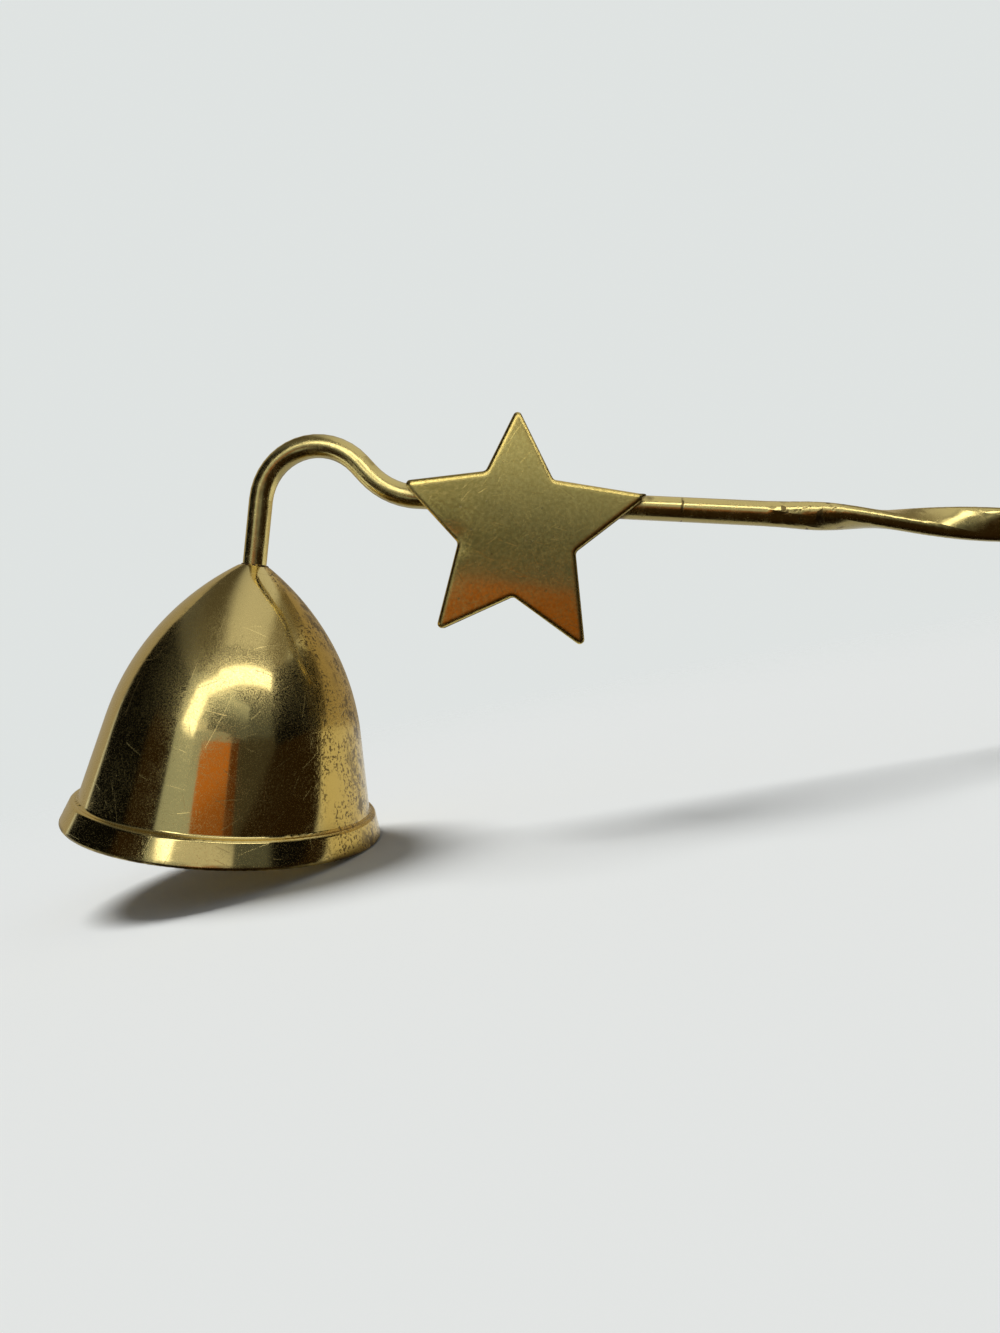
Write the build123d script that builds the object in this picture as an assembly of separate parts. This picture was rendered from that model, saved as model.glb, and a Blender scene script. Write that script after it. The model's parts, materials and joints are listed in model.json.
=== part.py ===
from build123d import *

import os
from math import asin, atan2, ceil, cos, degrees, hypot, radians, sin, sqrt, tan

# A brass candle snuffer: a bell on a bent rod, with a star on the shank and a twisted handle.
#
# Every piece is drawn in the snuffer's side view. There x runs out along the handle, y runs up
# the bell's axis from the mouth, and z comes out towards the star's face. At the end the whole
# snuffer is tipped to the way it lies on a table, with +Z up. Millimetres and degrees.

# Bell
MOUTH_DIAMETER = 50.8       # over the rounded rim
BELL_HEIGHT = 43.4
BELL_WALL = 1.4
SIDE_SLOPE = 12.5           # lean of the straight lower side, from the bell's axis
SHOULDER_HEIGHT = 17.2      # where the side starts to turn in towards the crown
CROWN_DIAMETER = 4.9
CROWN_EDGE_RADIUS = 0.5
BAND_HEIGHT = 4.0
BAND_SLOPE = 20.0           # lean of the band's face, from the bell's axis
BAND_STEP = 0.95            # how far the band stands out from the side
BAND_EDGE_RADIUS = 0.6
BAND_COVE_RADIUS = 0.5
LEDGE_SHARE = 0.45          # the most of the step that one of those roundings takes
RIM_EDGE_RADIUS = 0.4

# Nut inside the crown
NUT_ACROSS_FLATS = 5.0
NUT_HEIGHT = 2.2
NUT_CHAMFER = 0.35
NUT_SIDES = 6
NUT_SEAT_CLEARANCE = 0.4
THREAD_CLEARANCE = 0.05

# Rod and gooseneck
ROD_DIAMETER = 3.8
TENON_DIAMETER = 3.0
TENON_CLEARANCE = 0.1
TENON_PROUD = 0.8
TENON_CHAMFER = 0.3
LEG_LENGTH = 10.9
ARCH_RADIUS = 9.7
ARCH_ANGLE = 130.7
DIP_LENGTH = 2.1
RETURN_RADIUS = 12.2
SHANK_RISE = 2.8            # climb of the shank, from square to the bell's axis
SHANK_LENGTH = 54.4

# Hammered and twisted handle
FLATTENING_LENGTH = 13.0
STRIP_WIDTH = 5.0
STRIP_THICKNESS = 2.75
STRIP_EDGE_ANGLE = 78.0     # half the sweep of the strip's rounded edges
TWIST_PITCH = 61.2
TWIST_TURNS = 2
SECTION_ANGLE = 22.5        # twist between two sections of the handle
SPREADING_LENGTH = 11.0
TAB_WIDTH = 7.6
TAB_THICKNESS = 1.6
TAB_EDGE_RADIUS = 0.4
TAB_LENGTH = 9.0            # from the end of the spread to the middle of the hole
HANGING_HOLE_DIAMETER = 3.5

# Star
STAR_THICKNESS = 2.0
STAR_TIP_RADIUS = 20.2      # to the sharp tip, before it is rounded
STAR_NOTCH_RADIUS = 10.0
STAR_ANGLE = 2.7
STAR_REACH = 16.8           # from the start of the shank to the star's middle, along the shank
STAR_DROP = 5.3             # from the shank down to the star's middle
STAR_TIP_ROUNDING = 0.7
STAR_NOTCH_ROUNDING = 0.9
STAR_FACE_ROUNDING = 1.2
STAR_BACK_ROUNDING = 0.25
# The star is sawn by hand. How far each tip and each notch strays from a true star, outwards as a
# share of its radius and anticlockwise in degrees: top tip and the notch left of it, then on round.
TIP_STRAYS = ((-0.04, 3.5), (-0.005, -2.9), (-0.015, -0.1), (0.035, -1.3), (0.035, 1.0))
NOTCH_STRAYS = ((0.08, -5.6), (-0.07, -5.6), (-0.02, 0.7), (-0.04, 3.9), (-0.01, 4.6))

# Solder behind the star
SEAT_DEPTH = 0.3            # how deep the star is let into the shank
SOLDER_REACH = 0.5          # how far the solder spreads on the star beyond the rod's side
SOLDER_SAG = 0.25           # hollow of the solder's face
SOLDER_START = 5.0          # from the start of the shank
SOLDER_LENGTH = 20.5

# Sizes that follow from those above
MOUTH_RADIUS = MOUTH_DIAMETER / 2
ROD_RADIUS = ROD_DIAMETER / 2
TAB_END_RADIUS = TAB_WIDTH / 2
SEAT_LEVEL = ROD_RADIUS - SEAT_DEPTH
NUT_CORNER_RADIUS = NUT_ACROSS_FLATS / 2 / cos(radians(180 / NUT_SIDES))
TWIST_LENGTH = TWIST_PITCH * TWIST_TURNS


def rounded(face, corner, radius):
    """Round the corner of a flat face that lies nearest to a point."""
    return fillet(face.vertices().sort_by_distance(corner)[0], radius)


# Bell outline: radius in x, height in y
side_direction = Vector(-sin(radians(SIDE_SLOPE)), cos(radians(SIDE_SLOPE)))
side_inward = Vector(-cos(radians(SIDE_SLOPE)), -sin(radians(SIDE_SLOPE)))
band_lean = radians(BAND_SLOPE)
rim_loss = RIM_EDGE_RADIUS * ((1 + sin(band_lean)) / cos(band_lean) - 1)
mouth_corner = Vector(MOUTH_RADIUS + rim_loss, 0)
band_corner = mouth_corner + Vector(-tan(band_lean), 1) * BAND_HEIGHT
side_foot = band_corner - Vector(BAND_STEP, 0)
shoulder = side_foot + side_direction * ((SHOULDER_HEIGHT - BAND_HEIGHT) / side_direction.Y)
crown_corner = Vector(CROWN_DIAMETER / 2, BELL_HEIGHT)
shoulder_arc = TangentArc(shoulder, crown_corner, tangent=side_direction)

# The inside keeps one wall from the outside, up to a flat seat that the nut needs
inner_shoulder = shoulder + side_inward * BELL_WALL
inner_foot = inner_shoulder - side_direction * (inner_shoulder.Y / side_direction.Y)
seat_radius = NUT_CORNER_RADIUS + NUT_SEAT_CLEARANCE
arc_middle = shoulder_arc.arc_center
inner_arc_radius = shoulder_arc.radius - BELL_WALL
seat_height = arc_middle.Y + sqrt(inner_arc_radius**2 - (seat_radius - arc_middle.X) ** 2)


def ledge_rounding(radius, slope):
    """A rounding at one end of the band's top, no larger than the step leaves room for."""
    return min(radius, LEDGE_SHARE * BAND_STEP / tan(radians(90 - slope) / 2))


def make_bell():
    """Spin one outline of outside, crown hole and inside about the bell's axis."""
    bore_radius = TENON_DIAMETER / 2 + TENON_CLEARANCE
    seat_corner = Vector(seat_radius, seat_height)
    outside = Polyline(inner_foot, mouth_corner, band_corner, side_foot, shoulder)
    crown = Polyline(crown_corner, (bore_radius, BELL_HEIGHT), (bore_radius, seat_height), seat_corner)
    inner_arc = TangentArc(inner_shoulder, seat_corner, tangent=side_direction)
    inner_side = Line(inner_shoulder, inner_foot)
    outline = make_face([*outside.edges(), shoulder_arc, *crown.edges(), inner_arc, inner_side])
    for corner, radius in (
        (inner_foot, RIM_EDGE_RADIUS),
        (mouth_corner, RIM_EDGE_RADIUS),
        (band_corner, ledge_rounding(BAND_EDGE_RADIUS, BAND_SLOPE)),
        (side_foot, ledge_rounding(BAND_COVE_RADIUS, SIDE_SLOPE)),
        (crown_corner, CROWN_EDGE_RADIUS),
    ):
        outline = rounded(outline, corner, radius)
    return revolve(outline, Axis.Y)


def make_nut():
    """A hexagon nut with its corners turned off, hard up against the seat in the crown."""
    seat = Plane(origin=(0, seat_height, 0), x_dir=(1, 0, 0), z_dir=(0, -1, 0))
    blank = extrude(seat * RegularPolygon(NUT_CORNER_RADIUS, NUT_SIDES), NUT_HEIGHT)
    turned = extrude(seat * Circle(NUT_CORNER_RADIUS), NUT_HEIGHT)
    turned = chamfer(turned.edges(), NUT_CHAMFER)
    bore = extrude(seat * Circle(TENON_DIAMETER / 2 + THREAD_CLEARANCE), NUT_HEIGHT)
    return (blank & turned) - bore


# Rod centreline: leg, arch, short dip, return bend and shank, each tangent to the last
leg = Line((0, BELL_HEIGHT), (0, BELL_HEIGHT + LEG_LENGTH))
arch = JernArc(leg @ 1, leg % 1, ARCH_RADIUS, -ARCH_ANGLE)
dip = Line(arch @ 1, arch @ 1 + (arch % 1) * DIP_LENGTH)
return_bend = JernArc(dip @ 1, dip % 1, RETURN_RADIUS, ARCH_ANGLE - 90 + SHANK_RISE)
shank_start = return_bend @ 1
shank_direction = return_bend % 1
shank_up = Vector(-shank_direction.Y, shank_direction.X)
shank = Line(shank_start, shank_start + shank_direction * SHANK_LENGTH)


def shank_plane(distance):
    """A plane square across the shank: its x is up and its y comes out to the star's side."""
    origin = shank_start + shank_direction * distance
    return Plane(origin=origin, x_dir=shank_up, z_dir=shank_direction)


def oval(width, thickness):
    """A four-arc oval, round where width and thickness are equal and flat-sided where not."""
    half_width = width / 2
    half_thickness = thickness / 2
    along = cos(radians(STRIP_EDGE_ANGLE))
    across = sin(radians(STRIP_EDGE_ANGLE))
    centre_gap = (half_width - half_thickness) / (along + across - 1)
    edge_radius = half_thickness - centre_gap * (1 - across)
    face_radius = edge_radius + centre_gap
    edge_middle = half_width - edge_radius
    face_middle = face_radius - half_thickness
    edge_sweep = 2 * STRIP_EDGE_ANGLE
    face_sweep = 180 - edge_sweep
    arcs = [
        CenterArc((edge_middle, 0), edge_radius, -STRIP_EDGE_ANGLE, edge_sweep),
        CenterArc((0, -face_middle), face_radius, STRIP_EDGE_ANGLE, face_sweep),
        CenterArc((-edge_middle, 0), edge_radius, 180 - STRIP_EDGE_ANGLE, edge_sweep),
        CenterArc((0, face_middle), face_radius, 180 + STRIP_EDGE_ANGLE, face_sweep),
    ]
    return make_face(arcs)


def eased(start, end, share):
    """A value between two others that leaves the first and meets the second gently."""
    return start + (end - start) * share**2 * (3 - 2 * share)


def handle_sections():
    """Sections along the handle: round rod, hammered flat, twisted, spread to the end tab."""
    steps = ceil(TWIST_TURNS * 360 / SECTION_ANGLE)
    spread_steps = ceil(steps * SPREADING_LENGTH / TWIST_LENGTH) + 1
    stations = [TWIST_LENGTH * step / steps for step in range(steps + 1)]
    spread = [SPREADING_LENGTH * (step + 1) / spread_steps for step in range(spread_steps)]
    stations += [TWIST_LENGTH + distance for distance in spread]
    for station in stations:
        hammered = min(station / FLATTENING_LENGTH, 1)
        spread_out = max(station - TWIST_LENGTH, 0) / SPREADING_LENGTH
        width = eased(ROD_DIAMETER, STRIP_WIDTH, hammered)
        width = eased(width, TAB_WIDTH, spread_out)
        thickness = eased(ROD_DIAMETER, STRIP_THICKNESS, hammered)
        thickness = eased(thickness, TAB_THICKNESS, spread_out)
        turn = 360 * min(station, TWIST_LENGTH) / TWIST_PITCH
        yield shank_plane(SHANK_LENGTH + station) * Rot(0, 0, turn) * oval(width, thickness)


hole_distance = SHANK_LENGTH + TWIST_LENGTH + SPREADING_LENGTH + TAB_LENGTH
hole_middle = shank_start + shank_direction * hole_distance
tab_plane = Plane(origin=hole_middle, x_dir=shank_direction, z_dir=(0, 0, 1))


def make_tab():
    """The flattened end of the rod: a plate with one round end and a hole to hang it by."""
    plate = Pos(-TAB_LENGTH / 2, 0) * Rectangle(TAB_LENGTH, TAB_WIDTH) + Circle(TAB_END_RADIUS)
    tab = extrude(tab_plane * plate, TAB_THICKNESS / 2, both=True)
    faces = tab.faces().sort_by(Axis.Z)
    tab = fillet(faces[0].edges() + faces[-1].edges(), TAB_EDGE_RADIUS)
    return tab - extrude(tab_plane * Circle(HANGING_HOLE_DIAMETER / 2), TAB_THICKNESS, both=True)


def make_rod():
    """One length of rod, from the end inside the bell to the tab at the far end."""
    crown_plane = Plane(origin=leg @ 0, x_dir=(1, 0, 0), z_dir=leg % 0)
    tenon_length = BELL_HEIGHT - seat_height + NUT_HEIGHT + TENON_PROUD
    tenon = extrude(crown_plane * Circle(TENON_DIAMETER / 2), -tenon_length)
    tenon = chamfer(tenon.edges().sort_by(Axis.Y)[0], TENON_CHAMFER)
    round_rod = sweep(crown_plane * Circle(ROD_RADIUS), path=Wire([leg, arch, dip, return_bend, shank]))
    handle = loft(list(handle_sections()))
    star_seat = extrude(star_plane * star_outline(), ROD_DIAMETER)
    return tenon + round_rod + handle + make_tab() - star_seat


star_middle = shank_start + shank_direction * STAR_REACH - shank_up * STAR_DROP
star_plane = Plane(origin=star_middle + Vector(0, 0, SEAT_LEVEL), z_dir=(0, 0, 1))


def star_corners():
    """Tips and notches by turns, anticlockwise from the top tip."""
    point_angle = 360 / len(TIP_STRAYS)
    for index, (tip_stray, notch_stray) in enumerate(zip(TIP_STRAYS, NOTCH_STRAYS)):
        tip_angle = 90 + STAR_ANGLE + point_angle * index
        notch_angle = tip_angle + point_angle / 2
        for radius, angle, (outwards, around) in (
            (STAR_TIP_RADIUS, tip_angle, tip_stray),
            (STAR_NOTCH_RADIUS, notch_angle, notch_stray),
        ):
            direction = radians(angle + around)
            yield Vector(cos(direction), sin(direction)) * (radius * (1 + outwards))


def star_outline():
    """The sawn outline, which the star's seat in the shank is filed to as well."""
    corners = list(star_corners())
    outline = make_face(Polyline(*corners, close=True))
    for tip, notch in zip(corners[0::2], corners[1::2]):
        outline = rounded(outline, tip, STAR_TIP_ROUNDING)
        outline = rounded(outline, notch, STAR_NOTCH_ROUNDING)
    return outline


def make_star():
    """A plate sawn to the star's outline, its face rounded over and its back edge eased."""
    plate = extrude(star_plane * star_outline(), STAR_THICKNESS)
    plate = fillet(plate.faces().sort_by(Axis.Z)[-1].edges(), STAR_FACE_ROUNDING)
    return fillet(plate.faces().sort_by(Axis.Z)[0].edges(), STAR_BACK_ROUNDING)


def make_solder():
    """Two hollow fillets, above and below the shank, between it and the back of the star."""
    section_plane = shank_plane(SOLDER_START)
    spread = ROD_RADIUS + SOLDER_REACH
    right_edge = SagittaArc((spread, SEAT_LEVEL), (ROD_RADIUS, 0), SOLDER_SAG)
    left_edge = mirror(right_edge, Plane.YZ)
    top = Line((-spread, SEAT_LEVEL), (spread, SEAT_LEVEL))
    bottom = Line((-ROD_RADIUS, 0), (ROD_RADIUS, 0))
    profile = make_face([top, right_edge, bottom, left_edge]) - Circle(ROD_RADIUS)
    return extrude(section_plane * profile, SOLDER_LENGTH)


def rest_angle():
    """How far the handle tips down until the bell's rim and the end tab both touch the table."""
    rim_middle = Vector(MOUTH_RADIUS - RIM_EDGE_RADIUS, RIM_EDGE_RADIUS)
    across = hole_middle - rim_middle
    slope = atan2(across.Y, across.X)
    return degrees(slope - asin((TAB_END_RADIUS - RIM_EDGE_RADIUS) / hypot(across.X, across.Y)))


snuffer = {
    "bell": make_bell(),
    "crown_nut": make_nut(),
    "handle_rod": make_rod(),
    "star": make_star(),
    "star_solder": make_solder(),
}

# Turn the side view upright, tip it to its rest and put the middle of its base at the origin
tipped = Rot(0, rest_angle(), 0) * Plane.XZ.location
tipped_solids = [tipped * solid for piece in snuffer.values() for solid in piece.solids()]
tipped_box = Compound(tipped_solids).bounding_box()
rest = Pos(-tipped_box.center().X, -tipped_box.center().Y, -tipped_box.min.Z) * tipped

os.makedirs("parts", exist_ok=True)
for name, piece in snuffer.items():
    export_step(rest * piece, f"parts/{name}.step")
    print(name, len(piece.solids()), "solids", round(piece.volume, 1), "mm3")
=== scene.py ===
import json
import math

import bmesh
import bpy
from mathutils import Matrix, Quaternion, Vector
from mathutils.noise import noise as noise_at


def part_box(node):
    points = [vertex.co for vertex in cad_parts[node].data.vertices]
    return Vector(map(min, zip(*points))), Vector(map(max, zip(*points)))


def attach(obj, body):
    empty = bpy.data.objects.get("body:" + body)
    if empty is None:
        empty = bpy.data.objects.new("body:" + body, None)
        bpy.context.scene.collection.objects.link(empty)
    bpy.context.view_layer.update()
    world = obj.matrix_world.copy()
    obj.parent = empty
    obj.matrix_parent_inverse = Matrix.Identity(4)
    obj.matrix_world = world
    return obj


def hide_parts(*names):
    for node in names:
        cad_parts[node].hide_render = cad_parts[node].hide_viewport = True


# %% [markdown]
# A brass candle snuffer: a bell on a bent rod, with a star on the shank and a twisted handle.
# What is left for Blender is what makes brass look like brass: its colour, its wear, the marks
# of the maker's hammer and file, and a room for the metal to mirror.

# %% Load the CAD model and keep its box
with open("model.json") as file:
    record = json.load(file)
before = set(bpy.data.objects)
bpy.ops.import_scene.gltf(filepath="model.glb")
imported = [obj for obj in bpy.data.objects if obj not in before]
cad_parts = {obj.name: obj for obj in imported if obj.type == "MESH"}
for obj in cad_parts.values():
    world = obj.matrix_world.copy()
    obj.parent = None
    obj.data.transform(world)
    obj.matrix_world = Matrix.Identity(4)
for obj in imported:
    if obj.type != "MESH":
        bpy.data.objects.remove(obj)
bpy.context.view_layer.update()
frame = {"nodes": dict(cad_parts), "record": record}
nodes = frame["nodes"]
print("CAD nodes:", sorted(nodes))

# %% [markdown]
# The camera stands where the photograph was taken: close, low and with a wide lens, so the bell
# looms and the handle runs away to the right. The camera is also rolled, because it was held a
# little askew. `to_track_quat` aims it, and a turn about its own axis gives the roll.

# %% Camera at the photograph's place
CAMERA_PLACE = Vector((-0.0381, -0.1301, 0.0268))
CAMERA_AIM = Vector((-0.1346, 0.9908, -0.0137))
CAMERA_ROLL = math.radians(-10.87)
LENS_MM = 22.15
SENSOR_MM = 36.0

camera_data = bpy.data.cameras.new("camera")
camera_data.sensor_fit = "VERTICAL"
camera_data.sensor_height = SENSOR_MM
camera_data.sensor_width = SENSOR_MM
camera_data.lens = LENS_MM
camera_data.clip_start = 0.01
camera = bpy.data.objects.new("camera", camera_data)
bpy.context.scene.collection.objects.link(camera)
camera.location = CAMERA_PLACE
camera.rotation_mode = "QUATERNION"
camera.rotation_quaternion = CAMERA_AIM.to_track_quat("-Z", "Y") @ Quaternion((0, 0, 1), CAMERA_ROLL)
bpy.context.scene.camera = camera
bpy.context.scene.view_settings.view_transform = "Standard"
print("camera is", round(CAMERA_PLACE.z * 1000, 1), "mm above the floor")

# %% [markdown]
# Every finish below is a small tree of shader nodes. Building one by hand takes three lines for
# each node, so this helper makes a node, fills its sockets and links what it is given. A socket
# is named by its label, or by its number where several share a label.

# %% A helper for node trees


def add_node(tree, kind, settings=None, **sockets):
    """Add a node. A socket's value may be a number, a colour or another node's output."""
    node = tree.nodes.new("ShaderNode" + kind)
    for name, value in (settings or {}).items():
        setattr(node, name, value)
    for name, value in sockets.items():
        key = int(name[1:]) if name[1:].isdigit() else name.replace("_", " ")
        if isinstance(value, bpy.types.NodeSocket):
            tree.links.new(value, node.inputs[key])
        else:
            node.inputs[key].default_value = value
    return node


def new_material(name):
    """An empty material and its node tree, with only the output left in it."""
    material = bpy.data.materials.new(name)
    material.use_nodes = True
    tree = material.node_tree
    tree.nodes.clear()
    output = tree.nodes.new("ShaderNodeOutputMaterial")
    return material, tree, output


print("node helper ready")

# %% [markdown]
# The floor is a plain pale board. It is a disc that fades out towards its edge, so that no
# horizon cuts through the picture, and it keeps the snuffer's shadow.

# %% Pale floor
FLOOR_RADIUS = 0.42
FLOOR_FADE_START = 0.10
FLOOR_COLOUR = (0.83, 0.85, 0.84, 1)
BACKGROUND_COLOUR = (0.74, 0.77, 0.76, 1)


def stage_panel(name, shape):
    """Turn a bmesh into a stage object."""
    mesh = bpy.data.meshes.new(name)
    shape.to_mesh(mesh)
    shape.free()
    panel = bpy.data.objects.new(name, mesh)
    bpy.context.scene.collection.objects.link(panel)
    return panel


def make_floor():
    shape = bmesh.new()
    bmesh.ops.create_circle(shape, cap_ends=True, segments=64, radius=FLOOR_RADIUS)
    floor = stage_panel("floor", shape)
    material, tree, output = new_material("pale board")
    place = add_node(tree, "TexCoord").outputs["Object"]
    distance = add_node(tree, "VectorMath", {"operation": "LENGTH"}, Vector=place).outputs["Value"]
    fade = add_node(tree, "MapRange", {"interpolation_type": "SMOOTHSTEP"}, Value=distance,
                    From_Min=FLOOR_FADE_START, From_Max=FLOOR_RADIUS).outputs["Result"]
    board = add_node(tree, "BsdfDiffuse", Color=FLOOR_COLOUR).outputs[0]
    clear = add_node(tree, "BsdfTransparent").outputs[0]
    mixed = add_node(tree, "MixShader", i0=fade, i1=board, i2=clear).outputs[0]
    tree.links.new(mixed, output.inputs["Surface"])
    floor.data.materials.append(material)
    return floor


floor = make_floor()
print("floor radius in mm:", FLOOR_RADIUS * 1000)

# %% [markdown]
# Wear follows the object, and so does the room that it mirrors, so both need its own directions.
# The snuffer rests on its rim and on the handle's end, which leans the bell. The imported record
# gives the rim's face, whose axis points out of the bell's mouth. The shank climbs a little from
# square to the bell's axis, as in the CAD model.

# %% Directions along the bell and the shank
SHANK_RISE = math.radians(2.8)

mounts = {mount["name"]: mount for mount in frame["record"]["mounts"]}
bell_axis = -Vector(mounts["rim_face"]["axis"])
mouth_middle = Vector(mounts["rim_face"]["pos_m"]) * Vector((1, 0, 1))
handle_side = Vector((bell_axis.z, 0, -bell_axis.x))
shank_direction = handle_side * math.cos(SHANK_RISE) + bell_axis * math.sin(SHANK_RISE)
star_low, star_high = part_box("star")
star_middle = (star_low + star_high) / 2
print("bell axis", [round(part, 3) for part in bell_axis])
print("shank direction", [round(part, 3) for part in shank_direction])

# %% [markdown]
# Polished metal has almost no colour of its own to show: it shows the room. In front of the
# snuffer stand dark cards with a bright window between them, as in a photographer's tent, and
# behind it everything is pale. The cards are hidden from the camera and cast no shadow, so
# they are only seen mirrored in the brass. Each is placed by the direction it is seen in from
# the bell: azimuth 0 is towards the camera's side and 90 to the right. The ring of cards leans
# with the bell, so an upright card is mirrored straight up the bell's side. A nearer card hides
# what is behind it, so a small card may lie over a large one. Every card is a square of half
# size 1 that its object stretches, so its Object coordinates tell how far the edge is, and the
# card fades out there. A curved mirror would show a hard edge as a crease in the metal.

# %% Cards that the brass mirrors
bell_low, bell_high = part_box("bell")
bell_middle = (bell_low + bell_high) / 2
ROOM_LEAN = Matrix.Rotation(math.atan2(bell_axis.x, bell_axis.z), 4, "Y")
WHITE = (1, 1, 1)


def direction_of(azimuth, elevation):
    a, e = math.radians(azimuth), math.radians(elevation)
    return Vector((math.sin(a) * math.cos(e), -math.cos(a) * math.cos(e), math.sin(e)))


def glow_only_in_mirrors(panel, brightness, tint, soft):
    """Light the panel, fade it near its edges and hide it from everything but reflections."""
    material, tree, output = new_material(panel.name)
    glow = add_node(tree, "Emission", Color=(*tint, 1), Strength=brightness).outputs[0]
    place = add_node(tree, "TexCoord").outputs["Object"]
    sides = add_node(tree, "VectorMath", {"operation": "ABSOLUTE"}, Vector=place).outputs[0]
    sides = add_node(tree, "SeparateXYZ", Vector=sides)
    cover = 1.0
    for side, share in zip("XY", soft):
        fade = add_node(tree, "MapRange", {"interpolation_type": "SMOOTHSTEP"}, Value=sides.outputs[side],
                        From_Min=1.0, From_Max=1.0 - share).outputs["Result"]
        cover = add_node(tree, "Math", {"operation": "MULTIPLY"}, i0=cover, i1=fade).outputs[0]
    clear = add_node(tree, "BsdfTransparent").outputs[0]
    mixed = add_node(tree, "MixShader", i0=cover, i1=clear, i2=glow).outputs[0]
    tree.links.new(mixed, output.inputs["Surface"])
    panel.data.materials.append(material)
    panel.visible_camera = False
    panel.visible_diffuse = False
    panel.visible_shadow = False


def make_panel(name, middle, turn, half_size, brightness, tint, soft):
    """A square stage panel, stretched to a half width and half height with soft edges."""
    shape = bmesh.new()
    bmesh.ops.create_grid(shape, x_segments=1, y_segments=1, size=1)
    panel = stage_panel(name, shape)
    panel.matrix_world = Matrix.Translation(middle) @ turn @ Matrix.Diagonal((*half_size, 1, 1))
    glow_only_in_mirrors(panel, brightness, tint, [min(soft / size, 0.95) for size in half_size])
    return panel


def make_card(name, azimuths, elevations, distance, brightness, tint=WHITE, soft=3, lean=0):
    """A flat card that fills these angles as seen from the bell. Its edges fade over `soft` degrees."""
    spans = [math.radians(high - low) / 2 for low, high in (azimuths, elevations)]
    half_size = [distance * math.tan(span) for span in spans]
    outwards = direction_of(sum(azimuths) / 2, sum(elevations) / 2)
    middle = bell_middle + ROOM_LEAN @ outwards * distance
    upright = (-outwards).to_track_quat("Z", "Y").to_matrix().to_4x4()
    turn = ROOM_LEAN @ upright @ Matrix.Rotation(math.radians(lean), 4, "Z")
    fade = distance * math.tan(math.radians(soft))
    return make_panel(name, middle, turn, half_size, brightness, tint, fade)


WARM = (1.0, 0.34, 0.06)
TAN = (1.0, 0.88, 0.66)
COOL_GREY = (0.88, 0.98, 1.04)
BROWN = (1.0, 0.55, 0.18)
cards = [
    make_card("window", (4, 52), (40.5, 52), 0.60, 3.2, soft=2.5),
    make_card("window's bend", (-22, 12), (33, 44.5), 0.605, 3.0, soft=4, lean=-24),
    make_card("window's left end", (-25, -9), (14.5, 35), 0.61, 2.8, soft=4, lean=12),
    make_card("window sill", (-11, 30), (17, 24), 0.62, 0.62, soft=3),
    make_card("pale wall end", (-30, -9), (2, 19), 0.63, 0.42, COOL_GREY),
    make_card("dark foot of the wall", (24, 60), (-8, 20), 0.645, 0.05, TAN, soft=5),
    make_card("wall", (-30, 28), (-4, 46), 0.66, 0.36, COOL_GREY, soft=5),
    make_card("wall's dim end", (16, 58), (-4, 44), 0.67, 0.10, COOL_GREY, soft=8),
    make_card("right brown strip", (87, 101), (-14, 15), 0.64, 0.07, WARM, soft=1.5),
    make_card("right dark card", (53, 108), (-18, 49), 0.68, 0.003, soft=4, lean=5),
    make_card("right dark card's top", (92, 124), (18, 48), 0.675, 0.003, soft=4, lean=30),
    make_card("left brown card", (-58, -27), (-6, 22), 0.69, 0.022, BROWN, soft=8),
    make_card("left dark card", (-106, -26), (-12, 42), 0.70, 0.003, soft=8),
    make_card("upper left card", (-128, -14), (42, 78), 0.72, 0.09, TAN, soft=14),
    make_card("above the window", (-20, 66), (46, 63), 0.74, 0.24, soft=5),
    make_card("upper right card", (56, 150), (45, 70), 0.76, 0.18, TAN, soft=8),
    make_card("back right card", (106, 200), (-30, 44), 0.77, 0.44, TAN),
    make_card("back left card", (-200, -104), (-30, 44), 0.78, 0.38, TAN),
    make_card("room behind the cards", (-70, 80), (-16, 62), 0.85, 0.08),
]
print("cards:", [card.name for card in cards])

# %% [markdown]
# An orange panel stands further off and shows low on the bell, with its right side in shade. The
# star would mirror it too, but only its lower points do, because a grey card close in front hides
# the rest from it. The bell looks out below that card. On the left a near pale card ends the
# orange for the bell alone: the star looks past it and still sees the panel's low end. They all
# stand upright, so a quarter turn about X sets them up. The grey card is graded: dim at its foot,
# where the star's middle looks, and pale at its top. A ramp along a panel's own X or Y grades it.

# %% Orange panel and near cards
STANDING = Matrix.Rotation(math.pi / 2, 4, "X")
PANEL_TURN = STANDING @ Matrix.Rotation(math.radians(-8), 4, "Z")
PANEL_FADE = 0.003
ORANGE_DIM, ORANGE_BRIGHT = 0.27, 0.50
NEAR_CARD_TURN = STANDING @ Matrix.Rotation(math.radians(-18.2), 4, "Z")
NEAR_CARD_DIM, NEAR_CARD_PALE = 0.12, 0.70


def grade(panel, side, places, strengths):
    """Let the panel's glow go from one strength to another along its own X or Y."""
    tree = panel.data.materials[0].node_tree
    place = add_node(tree, "TexCoord").outputs["Object"]
    sideways = add_node(tree, "SeparateXYZ", Vector=place).outputs[side]
    ramp = add_node(tree, "MapRange", {"interpolation_type": "SMOOTHSTEP"}, Value=sideways,
                    From_Min=places[0], From_Max=places[1],
                    To_Min=strengths[0], To_Max=strengths[1]).outputs["Result"]
    glow = next(node for node in tree.nodes if node.type == "EMISSION")
    tree.links.new(ramp, glow.inputs["Strength"])


def make_orange(name, middle, half_size, brightness):
    """One part of the orange panel, given by its middle and its half width and height."""
    return make_panel(name, Vector(middle), PANEL_TURN, half_size, brightness, WARM, PANEL_FADE)


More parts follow.
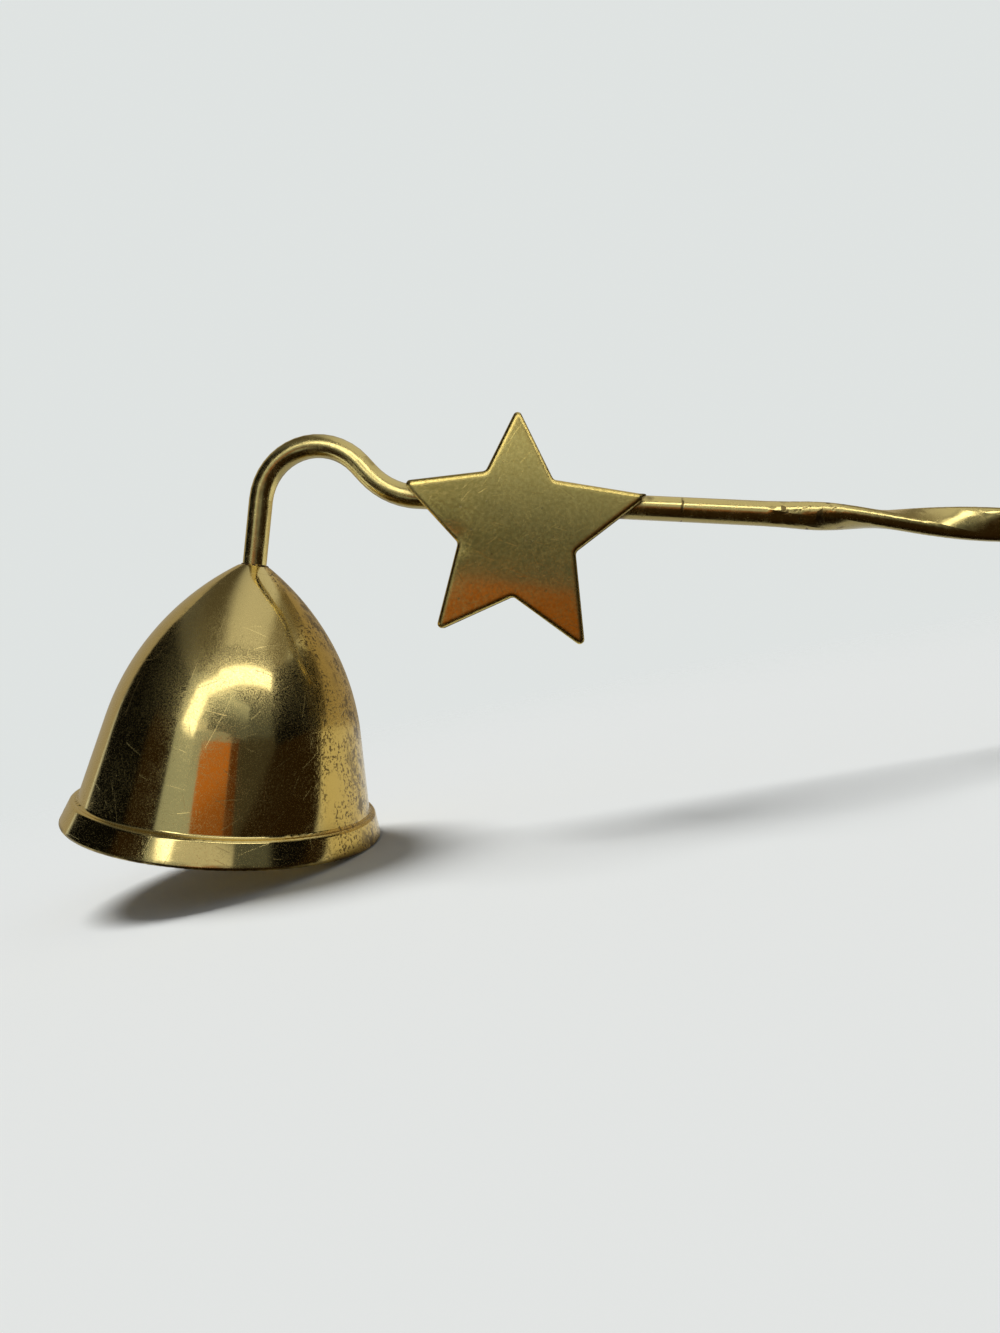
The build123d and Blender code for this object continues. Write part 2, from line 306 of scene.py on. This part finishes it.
orange_panel = make_orange("orange panel", (-0.044, -0.300, 0.040), (0.066, 0.048), ORANGE_BRIGHT)
grade(orange_panel, "Y", (0.1, 0.5), (ORANGE_DIM, ORANGE_BRIGHT))
make_orange("orange panel's shade", (0.041, -0.301, 0.028), (0.021, 0.048), 0.10)
make_orange("orange panel's low end", (-0.128, -0.301, 0.031), (0.030, 0.041), 0.34)
make_panel("near pale card", Vector((-0.1150, -0.110, 0.0200)), PANEL_TURN, (0.0125, 0.0220),
           0.42, COOL_GREY, 0.0008)
near_card = make_panel("near grey card", Vector((-0.0515, -0.110, 0.0652)), NEAR_CARD_TURN,
                       (0.0370, 0.0225), NEAR_CARD_PALE, COOL_GREY, 0.002)
grade(near_card, "Y", (-0.5, 1.4), (NEAR_CARD_DIM, NEAR_CARD_PALE))
print("orange panel from", ORANGE_DIM, "to", ORANGE_BRIGHT)
print("near grey card from", NEAR_CARD_DIM, "to", NEAR_CARD_PALE)

# %% [markdown]
# The ceiling is one large panel overhead, dim on the left and pale on the right. It is graded as
# well, because the crown of the bell mirrors all of it at once and would show a step.

# %% Graded ceiling
CEILING_HEIGHT = 0.90
CEILING_HALF_WIDTH = 1.30
CEILING_DIM, CEILING_PALE = 0.10, 0.60
CEILING_FADE = 0.1

ceiling = make_panel("ceiling", Vector((0, 0, CEILING_HEIGHT)), Matrix.Identity(4),
                     [CEILING_HALF_WIDTH] * 2, CEILING_PALE, WHITE, CEILING_FADE)
grade(ceiling, "X", (-0.44, 0.16), (CEILING_DIM, CEILING_PALE))
print("ceiling from", CEILING_DIM, "to", CEILING_PALE)

# %% [markdown]
# A dark brown mat lies on the board for the mirrored view alone, from under the rod forwards.
# Without it the underside of the rod and the lower edges of the star would glow with the board's
# own white. It is placed by the middle of its back edge and lies a little above the board, so
# that the two don't share one plane.

# %% Dark mat on the board
MAT_BACK_MIDDLE = Vector((-0.038, 0.0, 0.0008))
MAT_TURN = Matrix.Rotation(math.radians(18), 4, "Z")
MAT_HALF_SIZE = (0.80, 0.40)
MAT_BRIGHTNESS = 0.020
MAT_FADE = 0.004

mat_middle = MAT_BACK_MIDDLE + MAT_TURN @ Vector((0, -MAT_HALF_SIZE[1], 0))
make_panel("dark mat", mat_middle, MAT_TURN, MAT_HALF_SIZE, MAT_BRIGHTNESS, BROWN, MAT_FADE)
print("mat half size in mm:", [round(size * 1000) for size in MAT_HALF_SIZE])

# %% [markdown]
# One soft lamp throws the shadow on the board. It is a sun with a wide angle, which lights the
# board evenly however far the board goes. The world adds the rest of the light from all round.
# What the camera and the metal see of the world is the pale background itself.

# %% Lamp and world
LAMP_FROM = (-120, 60)
LAMP_ANGLE = math.radians(24)
LAMP_STRENGTH = 2.72
WORLD_LIGHT = 0.17

lamp_data = bpy.data.lights.new("soft lamp", "SUN")
lamp_data.angle = LAMP_ANGLE
lamp_data.energy = LAMP_STRENGTH
lamp = bpy.data.objects.new("soft lamp", lamp_data)
bpy.context.scene.collection.objects.link(lamp)
lamp.rotation_mode = "QUATERNION"
lamp.rotation_quaternion = (-direction_of(*LAMP_FROM)).to_track_quat("-Z", "Y")
lamp.visible_glossy = False

world = bpy.data.worlds.new("pale room")
bpy.context.scene.world = world
world.use_nodes = True
world.node_tree.nodes.clear()
world_output = world.node_tree.nodes.new("ShaderNodeOutputWorld")
path = add_node(world.node_tree, "LightPath")
seen = add_node(world.node_tree, "Math", {"operation": "ADD"}, i0=path.outputs["Is Camera Ray"],
                i1=path.outputs["Is Glossy Ray"]).outputs[0]
seen = add_node(world.node_tree, "Math", {"operation": "ADD", "use_clamp": True}, i0=seen,
                i1=path.outputs["Is Transmission Ray"]).outputs[0]
shown = add_node(world.node_tree, "Background", Color=BACKGROUND_COLOUR, Strength=1.0).outputs[0]
light = add_node(world.node_tree, "Background", Color=(1, 1, 1, 1), Strength=WORLD_LIGHT).outputs[0]
mixed = add_node(world.node_tree, "MixShader", i0=seen, i1=light, i2=shown).outputs[0]
world.node_tree.links.new(mixed, world_output.inputs["Surface"])
print("lamp", LAMP_STRENGTH, "and world light", WORLD_LIGHT)

# %% [markdown]
# All the finishes are made of the same few things: smooth steps, noise, spots and scratches.
# A hairline scratch is a plane that cuts the surface. Every cell of a Voronoi pattern gets one
# plane through its middle, turned by the cell's own random colour, so the lines run all ways.
# Only those that lie across the light flash up, as on real polished brass.

# %% Helpers for wear
MIDDLE_GREY = (0.5, 0.5, 0.5)
SHUFFLE = 17


def number(tree, operation, *values):
    """One step of arithmetic."""
    sockets = {f"i{index}": value for index, value in enumerate(values)}
    return add_node(tree, "Math", {"operation": operation}, **sockets).outputs[0]


def vector_step(tree, operation, *vectors):
    """One step of arithmetic with places or directions."""
    sockets = {f"i{index}": vector for index, vector in enumerate(vectors)}
    return add_node(tree, "VectorMath", {"operation": operation}, **sockets)


def both(tree, first, second):
    """High only where both patterns are."""
    return number(tree, "MULTIPLY", first, second)


def either(tree, first, second):
    """High where one of the patterns is."""
    return number(tree, "MAXIMUM", first, second)


def weigh(tree, *layers):
    """The sum of some patterns, each given with its weight."""
    total = 0.0
    for pattern, weight in layers:
        total = number(tree, "MULTIPLY_ADD", pattern, weight, total)
    return total


def step(tree, value, start, end, low=0.0, high=1.0):
    """Goes smoothly from low to high while the value goes from start to end."""
    return add_node(tree, "MapRange", {"interpolation_type": "SMOOTHSTEP"}, Value=value,
                    From_Min=start, From_Max=end, To_Min=low, To_Max=high).outputs["Result"]


def noise(tree, place, per_metre, detail=2.0, roughness=0.5):
    return add_node(tree, "TexNoise", Vector=place, Scale=per_metre, Detail=detail,
                    Roughness=roughness).outputs[0]


def along(tree, place, start, direction):
    """How far a place lies from a starting point in one direction, in metres."""
    offset = vector_step(tree, "SUBTRACT", place, start).outputs[0]
    return vector_step(tree, "DOT_PRODUCT", offset, direction).outputs["Value"]


def spot(tree, place, middle, radius, raggedness=0.0):
    """A soft round spot that fades to nothing at its radius."""
    distance = vector_step(tree, "DISTANCE", place, middle).outputs["Value"]
    if raggedness:
        reach = raggedness * radius
        stray = number(tree, "MULTIPLY_ADD", noise(tree, place, 1 / radius), reach, -reach / 2)
        distance = number(tree, "ADD", distance, stray)
    return step(tree, distance, radius, 0)


def hairlines(tree, place, per_metre, width, share):
    """Straight fine scratches, one across each cell of a random pattern, in a share of the cells."""
    cell = add_node(tree, "TexVoronoi", Vector=place, Scale=per_metre)
    offset = vector_step(tree, "SUBTRACT", place, cell.outputs["Position"]).outputs[0]
    turn = vector_step(tree, "SUBTRACT", cell.outputs["Color"], MIDDLE_GREY).outputs[0]
    turn = vector_step(tree, "NORMALIZE", turn).outputs[0]
    across = vector_step(tree, "DOT_PRODUCT", offset, turn).outputs["Value"]
    line = step(tree, number(tree, "ABSOLUTE", across), width, 0)
    red = add_node(tree, "SeparateColor", Color=cell.outputs["Color"]).outputs[0]
    draw = number(tree, "FRACT", number(tree, "MULTIPLY", red, SHUFFLE))
    return both(tree, line, number(tree, "LESS_THAN", draw, share))


def tint(tree, share, first, second):
    """The first colour where the share is 0 and the second where it is 1."""
    return add_node(tree, "Mix", {"data_type": "RGBA"}, i0=share, i6=first, i7=second).outputs[2]


print("wear helpers ready")

# %% [markdown]
# Every piece ends in the same metal shader. Its bumps are given in hundredths of a millimetre,
# which is about the depth of a scratch that can be seen. Where a finish names an edge radius, a
# Bevel node bends the shading round the piece's edges, as if a file had gone over them.

# %% The metal shader
HUNDREDTH = 0.00001
EDGE_SAMPLES = 8


def finish_brass(tree, output, colour, roughness, height, edge_radius=None):
    """Join colour, roughness and height, in hundredths of a millimetre, to a metal shader."""
    bump = add_node(tree, "Bump", Distance=HUNDREDTH, Height=height)
    if edge_radius:
        rounded = add_node(tree, "Bevel", {"samples": EDGE_SAMPLES}, Radius=edge_radius)
        tree.links.new(rounded.outputs[0], bump.inputs["Normal"])
    brass = add_node(tree, "BsdfPrincipled", Base_Color=colour, Metallic=1.0, Roughness=roughness,
                     Normal=bump.outputs[0])
    tree.links.new(brass.outputs[0], output.inputs["Surface"])


def dress(name, material):
    """Give a CAD node its finish."""
    nodes[name].data.materials.clear()
    nodes[name].data.materials.append(material)
    print(name, "wears", material.name)


print("metal shader ready")

# %% [markdown]
# The bell was turned and polished, then handled for years. Cloths have left hairlines and cloudy
# smudges on its front. The side under the handle is never rubbed, so it has gone a deeper gold,
# with a rash of dark specks and a ragged brown line. The rim's lower edge is dark where it was
# set down.

# %% Bell finish
BELL_BRASS = (0.76, 0.60, 0.23, 1)
DEEP_BRASS = (0.60, 0.41, 0.105, 1)
TARNISH = (0.11, 0.07, 0.025, 1)
TARNISH_COVER = 0.85
BELL_POLISH, BELL_HAZE = 0.08, 0.32
FINE_GRAIN = 9000
FRONT = Vector((0, -1, 0))
FLANK_SHARE = (0.81, 0.90)
RIM_DARK_HEIGHT = 0.0010
RUBBED_HEIGHTS = (0.014, 0.026, 0.032, 0.042)


def bell_finish():
    material, tree, output = new_material("worn bell brass")
    place = add_node(tree, "TexCoord").outputs["Object"]
    height = along(tree, place, mouth_middle, bell_axis)
    to_handle = along(tree, place, mouth_middle, handle_side)
    to_front = along(tree, place, mouth_middle, FRONT)
    radius = number(tree, "SQRT", weigh(tree, (to_handle, to_handle), (to_front, to_front)))
    handle_share = number(tree, "DIVIDE", to_handle, radius)
    front_share = number(tree, "ABSOLUTE", number(tree, "DIVIDE", to_front, radius))

    smudge = noise(tree, place, 120, 4, 0.62)
    cloud = step(tree, smudge, 0.42, 0.68)
    swirls = hairlines(tree, place, 520, 0.00003, 0.9)
    scratches = either(tree, hairlines(tree, place, 170, 0.00003, 0.4),
                       hairlines(tree, place, 300, 0.000025, 0.5))

    flank = step(tree, handle_share, *FLANK_SHARE)
    specks = both(tree, step(tree, noise(tree, place, 2100, 2, 0.6), 0.52, 0.62),
                  step(tree, noise(tree, place, 170, 3), 0.34, 0.54))
    blotches = both(tree, step(tree, noise(tree, place, 480, 4, 0.7), 0.47, 0.58),
                    step(tree, front_share, 0.26, 0.06))
    tarnish = both(tree, flank, either(tree, specks, blotches))
    rim = both(tree, step(tree, height, RIM_DARK_HEIGHT, RIM_DARK_HEIGHT / 4),
               step(tree, noise(tree, place, 300, 3), 0.3, 0.6))
    dark = number(tree, "MULTIPLY", either(tree, tarnish, rim), TARNISH_COVER)
    colour = tint(tree, dark, tint(tree, flank, BELL_BRASS, DEEP_BRASS), TARNISH)

    foot, full_from, full_to, top = RUBBED_HEIGHTS
    rubbed = both(tree, step(tree, height, foot, full_from), step(tree, height, top, full_to))
    rubbed = both(tree, rubbed, step(tree, handle_share, -0.60, -0.25))
    grain = number(tree, "MULTIPLY_ADD", rubbed, 0.12, noise(tree, place, FINE_GRAIN, 1))
    haze = step(tree, number(tree, "MULTIPLY_ADD", cloud, 0.05, grain), 0.56, 0.70)
    shine = step(tree, haze, 0, 1, BELL_POLISH, BELL_HAZE)
    roughness = number(tree, "ADD", shine, weigh(tree, (dark, 0.2), (swirls, 0.08)))

    turning = noise(tree, add_node(tree, "CombineXYZ", X=height).outputs[0], 2600, 2)
    relief = weigh(tree, (turning, 0.12), (smudge, 0.6), (swirls, -0.12), (scratches, -0.55), (dark, -1.5))
    finish_brass(tree, output, colour, roughness, relief)
    return material


dress("bell", bell_finish())

# %% [markdown]
# The star was sawn from plate and rubbed with emery, which leaves a satin face with scratches in
# all directions. The plate is not quite flat, so what it mirrors is bent. Near the left arm's
# lower edge a blow has dented it. The sawn edges were never polished and are brown, and the file
# that took off the burr has left a soft border along them.

# %% Star finish
STAR_BRASS = (0.74, 0.57, 0.18, 1)
RUBBED_BRASS = (0.64, 0.48, 0.14, 1)
SAWN_EDGE = (0.30, 0.22, 0.08, 1)
SAWN_DEPTHS = (0.00015, 0.0005)
STAR_POLISH, STAR_HAZE = 0.09, 0.26
DENT_MIDDLE = Vector((-0.0588, star_low.y, 0.0457))
DENT_RADIUS = 0.0038
DENT_DEPTH = 15.0
FILED_WIDTH = 0.0011


def star_finish():
    material, tree, output = new_material("satin star brass")
    place = add_node(tree, "TexCoord").outputs["Object"]
    edge = step(tree, along(tree, place, star_low, -FRONT), *SAWN_DEPTHS)
    wave = noise(tree, place, 55, 2)
    grain = noise(tree, place, 1700, 3, 0.6)
    smudge = noise(tree, place, 260, 4, 0.65)
    satin = noise(tree, place, FINE_GRAIN, 1)
    scratches = either(tree, hairlines(tree, place, 260, 0.00004, 0.6),
                       hairlines(tree, place, 560, 0.000035, 0.8))
    specks = step(tree, noise(tree, place, 1100, 1), 0.70, 0.76)
    dent = spot(tree, place, DENT_MIDDLE, DENT_RADIUS, 0.3)

    dark = either(tree, edge, number(tree, "MULTIPLY", specks, 0.6))
    face = tint(tree, step(tree, grain, 0.36, 0.62), STAR_BRASS, RUBBED_BRASS)
    colour = tint(tree, dark, face, SAWN_EDGE)
    haze = step(tree, number(tree, "MULTIPLY_ADD", smudge, 0.3, satin), 0.62, 0.78)
    shine = step(tree, haze, 0, 1, STAR_POLISH, STAR_HAZE)
    roughness = number(tree, "MULTIPLY_ADD", dark, 0.12, shine)
    relief = weigh(tree, (wave, 4.0), (smudge, 0.6), (satin, 0.10), (scratches, -0.3), (dent, -DENT_DEPTH))
    finish_brass(tree, output, colour, roughness, relief, FILED_WIDTH)
    return material


star_brass = star_finish()
print("star finish:", star_brass.name)

# %% [markdown]
# Filing has rounded the star's edges, but less on the real star than the one large rounding of
# the CAD star. This copy keeps the CAD star's back, and builds the front again as one face that
# is pulled forward and then drawn in, ring by ring, with `inset_region`. The rings follow a
# quarter circle. The file was held at a slant, so each ring also sinks a little and the upper
# edges come out wider than the lower ones. They catch the window in a thin bright line.

# %% Star with filed edges
CAD_ROUNDING = 0.0012
EDGE_RADIUS = 0.00050
EDGE_RINGS = 7
WELD_DISTANCE = 0.000001
SLANT = 0.25


def edge_rings():
    """How far each ring goes in and how far it comes forward."""
    angles = [math.radians(90 * index / EDGE_RINGS) for index in range(EDGE_RINGS + 1)]
    for low, high in zip(angles, angles[1:]):
        yield EDGE_RADIUS * (math.cos(low) - math.cos(high)), EDGE_RADIUS * (math.sin(high) - math.sin(low))


def make_star():
    shape = bmesh.new()
    shape.from_mesh(nodes["star"].data)
    bmesh.ops.remove_doubles(shape, verts=shape.verts, dist=WELD_DISTANCE)
    wall = star_low.y + CAD_ROUNDING - WELD_DISTANCE
    front = [face for face in shape.faces if any(vert.co.y < wall for vert in face.verts)]
    bmesh.ops.delete(shape, geom=front, context="FACES")
    outline = [edge for edge in shape.edges if edge.is_boundary]
    face = bmesh.ops.contextual_create(shape, geom=outline)["faces"][0]
    pulled = bmesh.ops.extrude_face_region(shape, geom=[face], use_keep_orig=False)["geom"]
    face = next(item for item in pulled if isinstance(item, bmesh.types.BMFace))
    bmesh.ops.translate(shape, vec=(0, EDGE_RADIUS - CAD_ROUNDING, 0), verts=face.verts)
    for inwards, forward in edge_rings():
        bmesh.ops.inset_region(shape, faces=[face], thickness=inwards, use_even_offset=True,
                               use_boundary=True)
        bmesh.ops.translate(shape, vec=(0, -forward, -SLANT * inwards), verts=face.verts)
    bmesh.ops.recalc_face_normals(shape, faces=shape.faces)
    for each in shape.faces:
        each.smooth = each is not face
    return shape


def finish_piece(name, shape, material):
    """Turn a bmesh into a piece of the snuffer in its material."""
    mesh = bpy.data.meshes.new(name)
    shape.to_mesh(mesh)
    shape.free()
    piece = bpy.data.objects.new(name, mesh)
    bpy.context.scene.collection.objects.link(piece)
    mesh.materials.append(material)
    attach(piece, "root")
    print(name, "has", len(mesh.polygons), "faces")
    return piece


filed_star = finish_piece("filed_star", make_star(), star_brass)
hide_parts("star")

# %% [markdown]
# The rod was drawn, so fine streaks run along it, and it is not perfectly round or straight. Where
# it was hammered flat the blows left dents with dark bottoms. Next to the star's right tip the rod
# is painted dark along the star's edge as shade, with a dark spot just past the tip, and a little
# further on a file has nicked it. The underside is painted darker, as shade: the surface's own
# normal tells which side it is.

# %% Rod finish
ROD_BRASS = (0.76, 0.61, 0.23, 1)
# painted shade: the colour of the rod's underside
UNDERSIDE_SHADE_BRASS = (0.33, 0.26, 0.10, 1)
# dark brown for the hammer pits, the nick, the spot past the tip, and the painted shade along the star's
# edge
MARK_AND_SHADE_BROWN = (0.10, 0.06, 0.02, 1)
ROD_POLISH, ROD_HAZE = 0.19, 0.30
STREAK_SIZE = (0.06, 0.0007, 0.0007)
NICK_ALONG = 0.0229
NICK_WIDTHS = (0.00028, 0.00008)
HAMMERED = (0.0345, 0.0375, 0.0450, 0.0490)
HAMMER_DEPTH = 14.0
STAR_TIP = Vector((-0.0304, 0, 0.0462))
STAR_EDGE_OUT = Vector((0.533, 0, -0.846))
# how wide the painted shade on the rod along the star's edge reaches
STAR_EDGE_SHADE_WIDTHS = (0.0012, 0.0005)
STAR_EDGE_SHADE_REACH = 0.006
TIP_DARK_SPOT = Vector((-0.0279, -0.0016, 0.0464))
TIP_DARK_SPOT_RADIUS = 0.0011


def rod_finish():
    material, tree, output = new_material("drawn rod brass")
    place = add_node(tree, "TexCoord").outputs["Object"]
    distance = along(tree, place, star_middle, shank_direction)
    slope = math.atan2(-shank_direction.z, shank_direction.x)
    turned = add_node(tree, "Mapping", {"vector_type": "TEXTURE"}, Vector=place,
                      Rotation=(0, slope, 0), Scale=STREAK_SIZE).outputs[0]
    streaks = noise(tree, turned, 1.0, 2)
    wobble = noise(tree, place, 260, 2)
    smudge = noise(tree, place, 500, 4, 0.65)
    scratches = hairlines(tree, place, 420, 0.00006, 0.5)

    start, full_from, full_to, end = HAMMERED
    hammered = both(tree, step(tree, distance, start, full_from), step(tree, distance, end, full_to))
    blows = add_node(tree, "TexVoronoi", {"feature": "SMOOTH_F1"}, Vector=place, Scale=430,
                     Smoothness=0.4).outputs["Distance"]
    pits = both(tree, hammered, step(tree, noise(tree, place, 620, 2), 0.57, 0.66))
    from_nick = number(tree, "ABSOLUTE", number(tree, "SUBTRACT", distance, NICK_ALONG))
    nick = both(tree, step(tree, from_nick, *NICK_WIDTHS),
                step(tree, noise(tree, place, 700, 1), 0.40, 0.55))
    # painted shade: a dark strip on the rod along the star's lower right edge, near its tip
    from_star = along(tree, place, STAR_TIP, STAR_EDGE_OUT)
    near_tip = step(tree, spot(tree, place, STAR_TIP, STAR_EDGE_SHADE_REACH), 0.05, 0.35)
    star_edge_shade_and_spot = both(tree, step(tree, from_star, *STAR_EDGE_SHADE_WIDTHS), near_tip)
    star_edge_shade_and_spot = either(tree, star_edge_shade_and_spot, spot(tree, place, TIP_DARK_SPOT, TIP_DARK_SPOT_RADIUS, 0.9))
    marks = either(tree, either(tree, pits, nick), star_edge_shade_and_spot)
    dark = number(tree, "MULTIPLY", marks, TARNISH_COVER)

    normal = add_node(tree, "TexCoord").outputs["Normal"]
    facing_up = add_node(tree, "SeparateXYZ", Vector=normal).outputs["Z"]
    # painted shade: the side that faces down is darkened
    painted_underside_shade = step(tree, number(tree, "MULTIPLY_ADD", smudge, 0.2, facing_up), -0.35, -0.65)
    colour = tint(tree, dark, tint(tree, painted_underside_shade, ROD_BRASS, UNDERSIDE_SHADE_BRASS), MARK_AND_SHADE_BROWN)
    shine = step(tree, smudge, 0.35, 0.7, ROD_POLISH, ROD_HAZE)
    roughness = number(tree, "MULTIPLY_ADD", dark, 0.2, shine)
    relief = weigh(tree, (streaks, 0.35), (wobble, 4.0), (smudge, 0.6), (scratches, -0.6),
                   (both(tree, blows, hammered), HAMMER_DEPTH), (dark, -4.0))
    finish_brass(tree, output, colour, roughness, relief)
    return material


dress("handle_rod", rod_finish())

# %% [markdown]
# The nut is a plain bought one, a little duller than the rest. The solder behind the star is not
# brass at all but a soft grey alloy that froze with a skin on it.

# %% Nut and solder finish
NUT_BRASS = (0.70, 0.55, 0.24, 1)
SOLDER_BRIGHT = (0.60, 0.57, 0.48, 1)
SOLDER_DULL = (0.34, 0.31, 0.24, 1)


def nut_finish():
    material, tree, output = new_material("plain nut brass")
    place = add_node(tree, "TexCoord").outputs["Object"]
    smudge = noise(tree, place, 900, 3)
    colour = tint(tree, step(tree, smudge, 0.5, 0.8), NUT_BRASS, TARNISH)
    roughness = step(tree, smudge, 0.3, 0.7, 0.22, 0.36)
    finish_brass(tree, output, colour, roughness, number(tree, "MULTIPLY", smudge, 0.8))
    return material


def solder_finish():
    material, tree, output = new_material("grey solder")
    place = add_node(tree, "TexCoord").outputs["Object"]
    skin = noise(tree, place, 1300, 4, 0.6)
    colour = tint(tree, step(tree, skin, 0.40, 0.62), SOLDER_BRIGHT, SOLDER_DULL)
    roughness = step(tree, skin, 0.3, 0.7, 0.26, 0.45)
    finish_brass(tree, output, colour, roughness, number(tree, "MULTIPLY", skin, 4.0))
    return material


dress("crown_nut", nut_finish())
dress("star_solder", solder_finish())

# %% [markdown]
# Where the rod stands on the crown, polish and soot have caked in the corner as a thin dark bead
# that is nowhere quite even. A small circle spun round the rod's axis makes the ring, and noise
# pushes its points in and out. `spin` is given `use_merge`, so that the ring closes on itself.

# %% Bead at the rod's foot
GRIME = (0.10, 0.06, 0.025, 1)
ROD_RADIUS = 0.0019
CROWN_HEIGHT = 0.0434
BEAD_RADIUS = 0.00030
BEAD_SIDES = 12
BEAD_STEPS = 72
BEAD_STRAY = 0.00030
STRAYS_PER_METRE = 900
GRIME_ROUGHNESS = 0.42


def make_bead():
    shape = bmesh.new()
    bmesh.ops.create_circle(shape, segments=BEAD_SIDES, radius=BEAD_RADIUS)
    bmesh.ops.rotate(shape, cent=(0, 0, 0), matrix=Matrix.Rotation(math.pi / 2, 3, "X"), verts=shape.verts)
    bmesh.ops.translate(shape, vec=(ROD_RADIUS, 0, 0), verts=shape.verts)
    bmesh.ops.spin(shape, geom=shape.verts[:] + shape.edges[:], cent=(0, 0, 0), axis=(0, 0, 1),
                   angle=math.tau, steps=BEAD_STEPS, use_merge=True)
    bmesh.ops.recalc_face_normals(shape, faces=shape.faces)
    for vert in shape.verts:
        outwards = Vector((vert.co.x, vert.co.y, 0)).normalized()
        vert.co += outwards * BEAD_STRAY * noise_at(vert.co * STRAYS_PER_METRE)
    upright = bell_axis.to_track_quat("Z", "Y").to_matrix().to_4x4()
    crown = Matrix.Translation(mouth_middle + bell_axis * CROWN_HEIGHT) @ upright
    bmesh.ops.transform(shape, matrix=crown, verts=shape.verts)
    for each in shape.faces:
        each.smooth = True
    return shape


def grime_finish():
    material, tree, output = new_material("joint grime")
    place = add_node(tree, "TexCoord").outputs["Object"]
    crumbs = noise(tree, place, 2600, 3)
    colour = tint(tree, step(tree, crumbs, 0.5, 0.7), GRIME, DEEP_BRASS)
    finish_brass(tree, output, colour, GRIME_ROUGHNESS, number(tree, "MULTIPLY", crumbs, 5.0))
    return material


finish_piece("foot_bead", make_bead(), grime_finish())

# %% [markdown]
# At the star's right tip a lip of metal was drawn up over the shank when the star was fixed. It is
# a small sphere, stretched along the shank, flattened and bent upwards at its far end.

# %% Lip at the star's right tip
LIP_SIZE = Vector((0.0015, 0.00060, 0.00034))
LIP_MIDDLE = Vector((-0.0299, -0.0025, 0.0467))
LIP_BEND = 0.00010
LIP_SLOPE = math.radians(9)


def make_lip():
    shape = bmesh.new()
    bmesh.ops.create_uvsphere(shape, u_segments=32, v_segments=16, radius=1)
    for vert in shape.verts:
        vert.co.z += LIP_BEND / LIP_SIZE.z * vert.co.x**2
    bmesh.ops.scale(shape, vec=LIP_SIZE, verts=shape.verts)
    bmesh.ops.rotate(shape, cent=(0, 0, 0), matrix=Matrix.Rotation(LIP_SLOPE, 3, "Y"), verts=shape.verts)
    bmesh.ops.translate(shape, vec=LIP_MIDDLE, verts=shape.verts)
    for each in shape.faces:
        each.smooth = True
    return shape


finish_piece("tip_lip", make_lip(), star_brass)
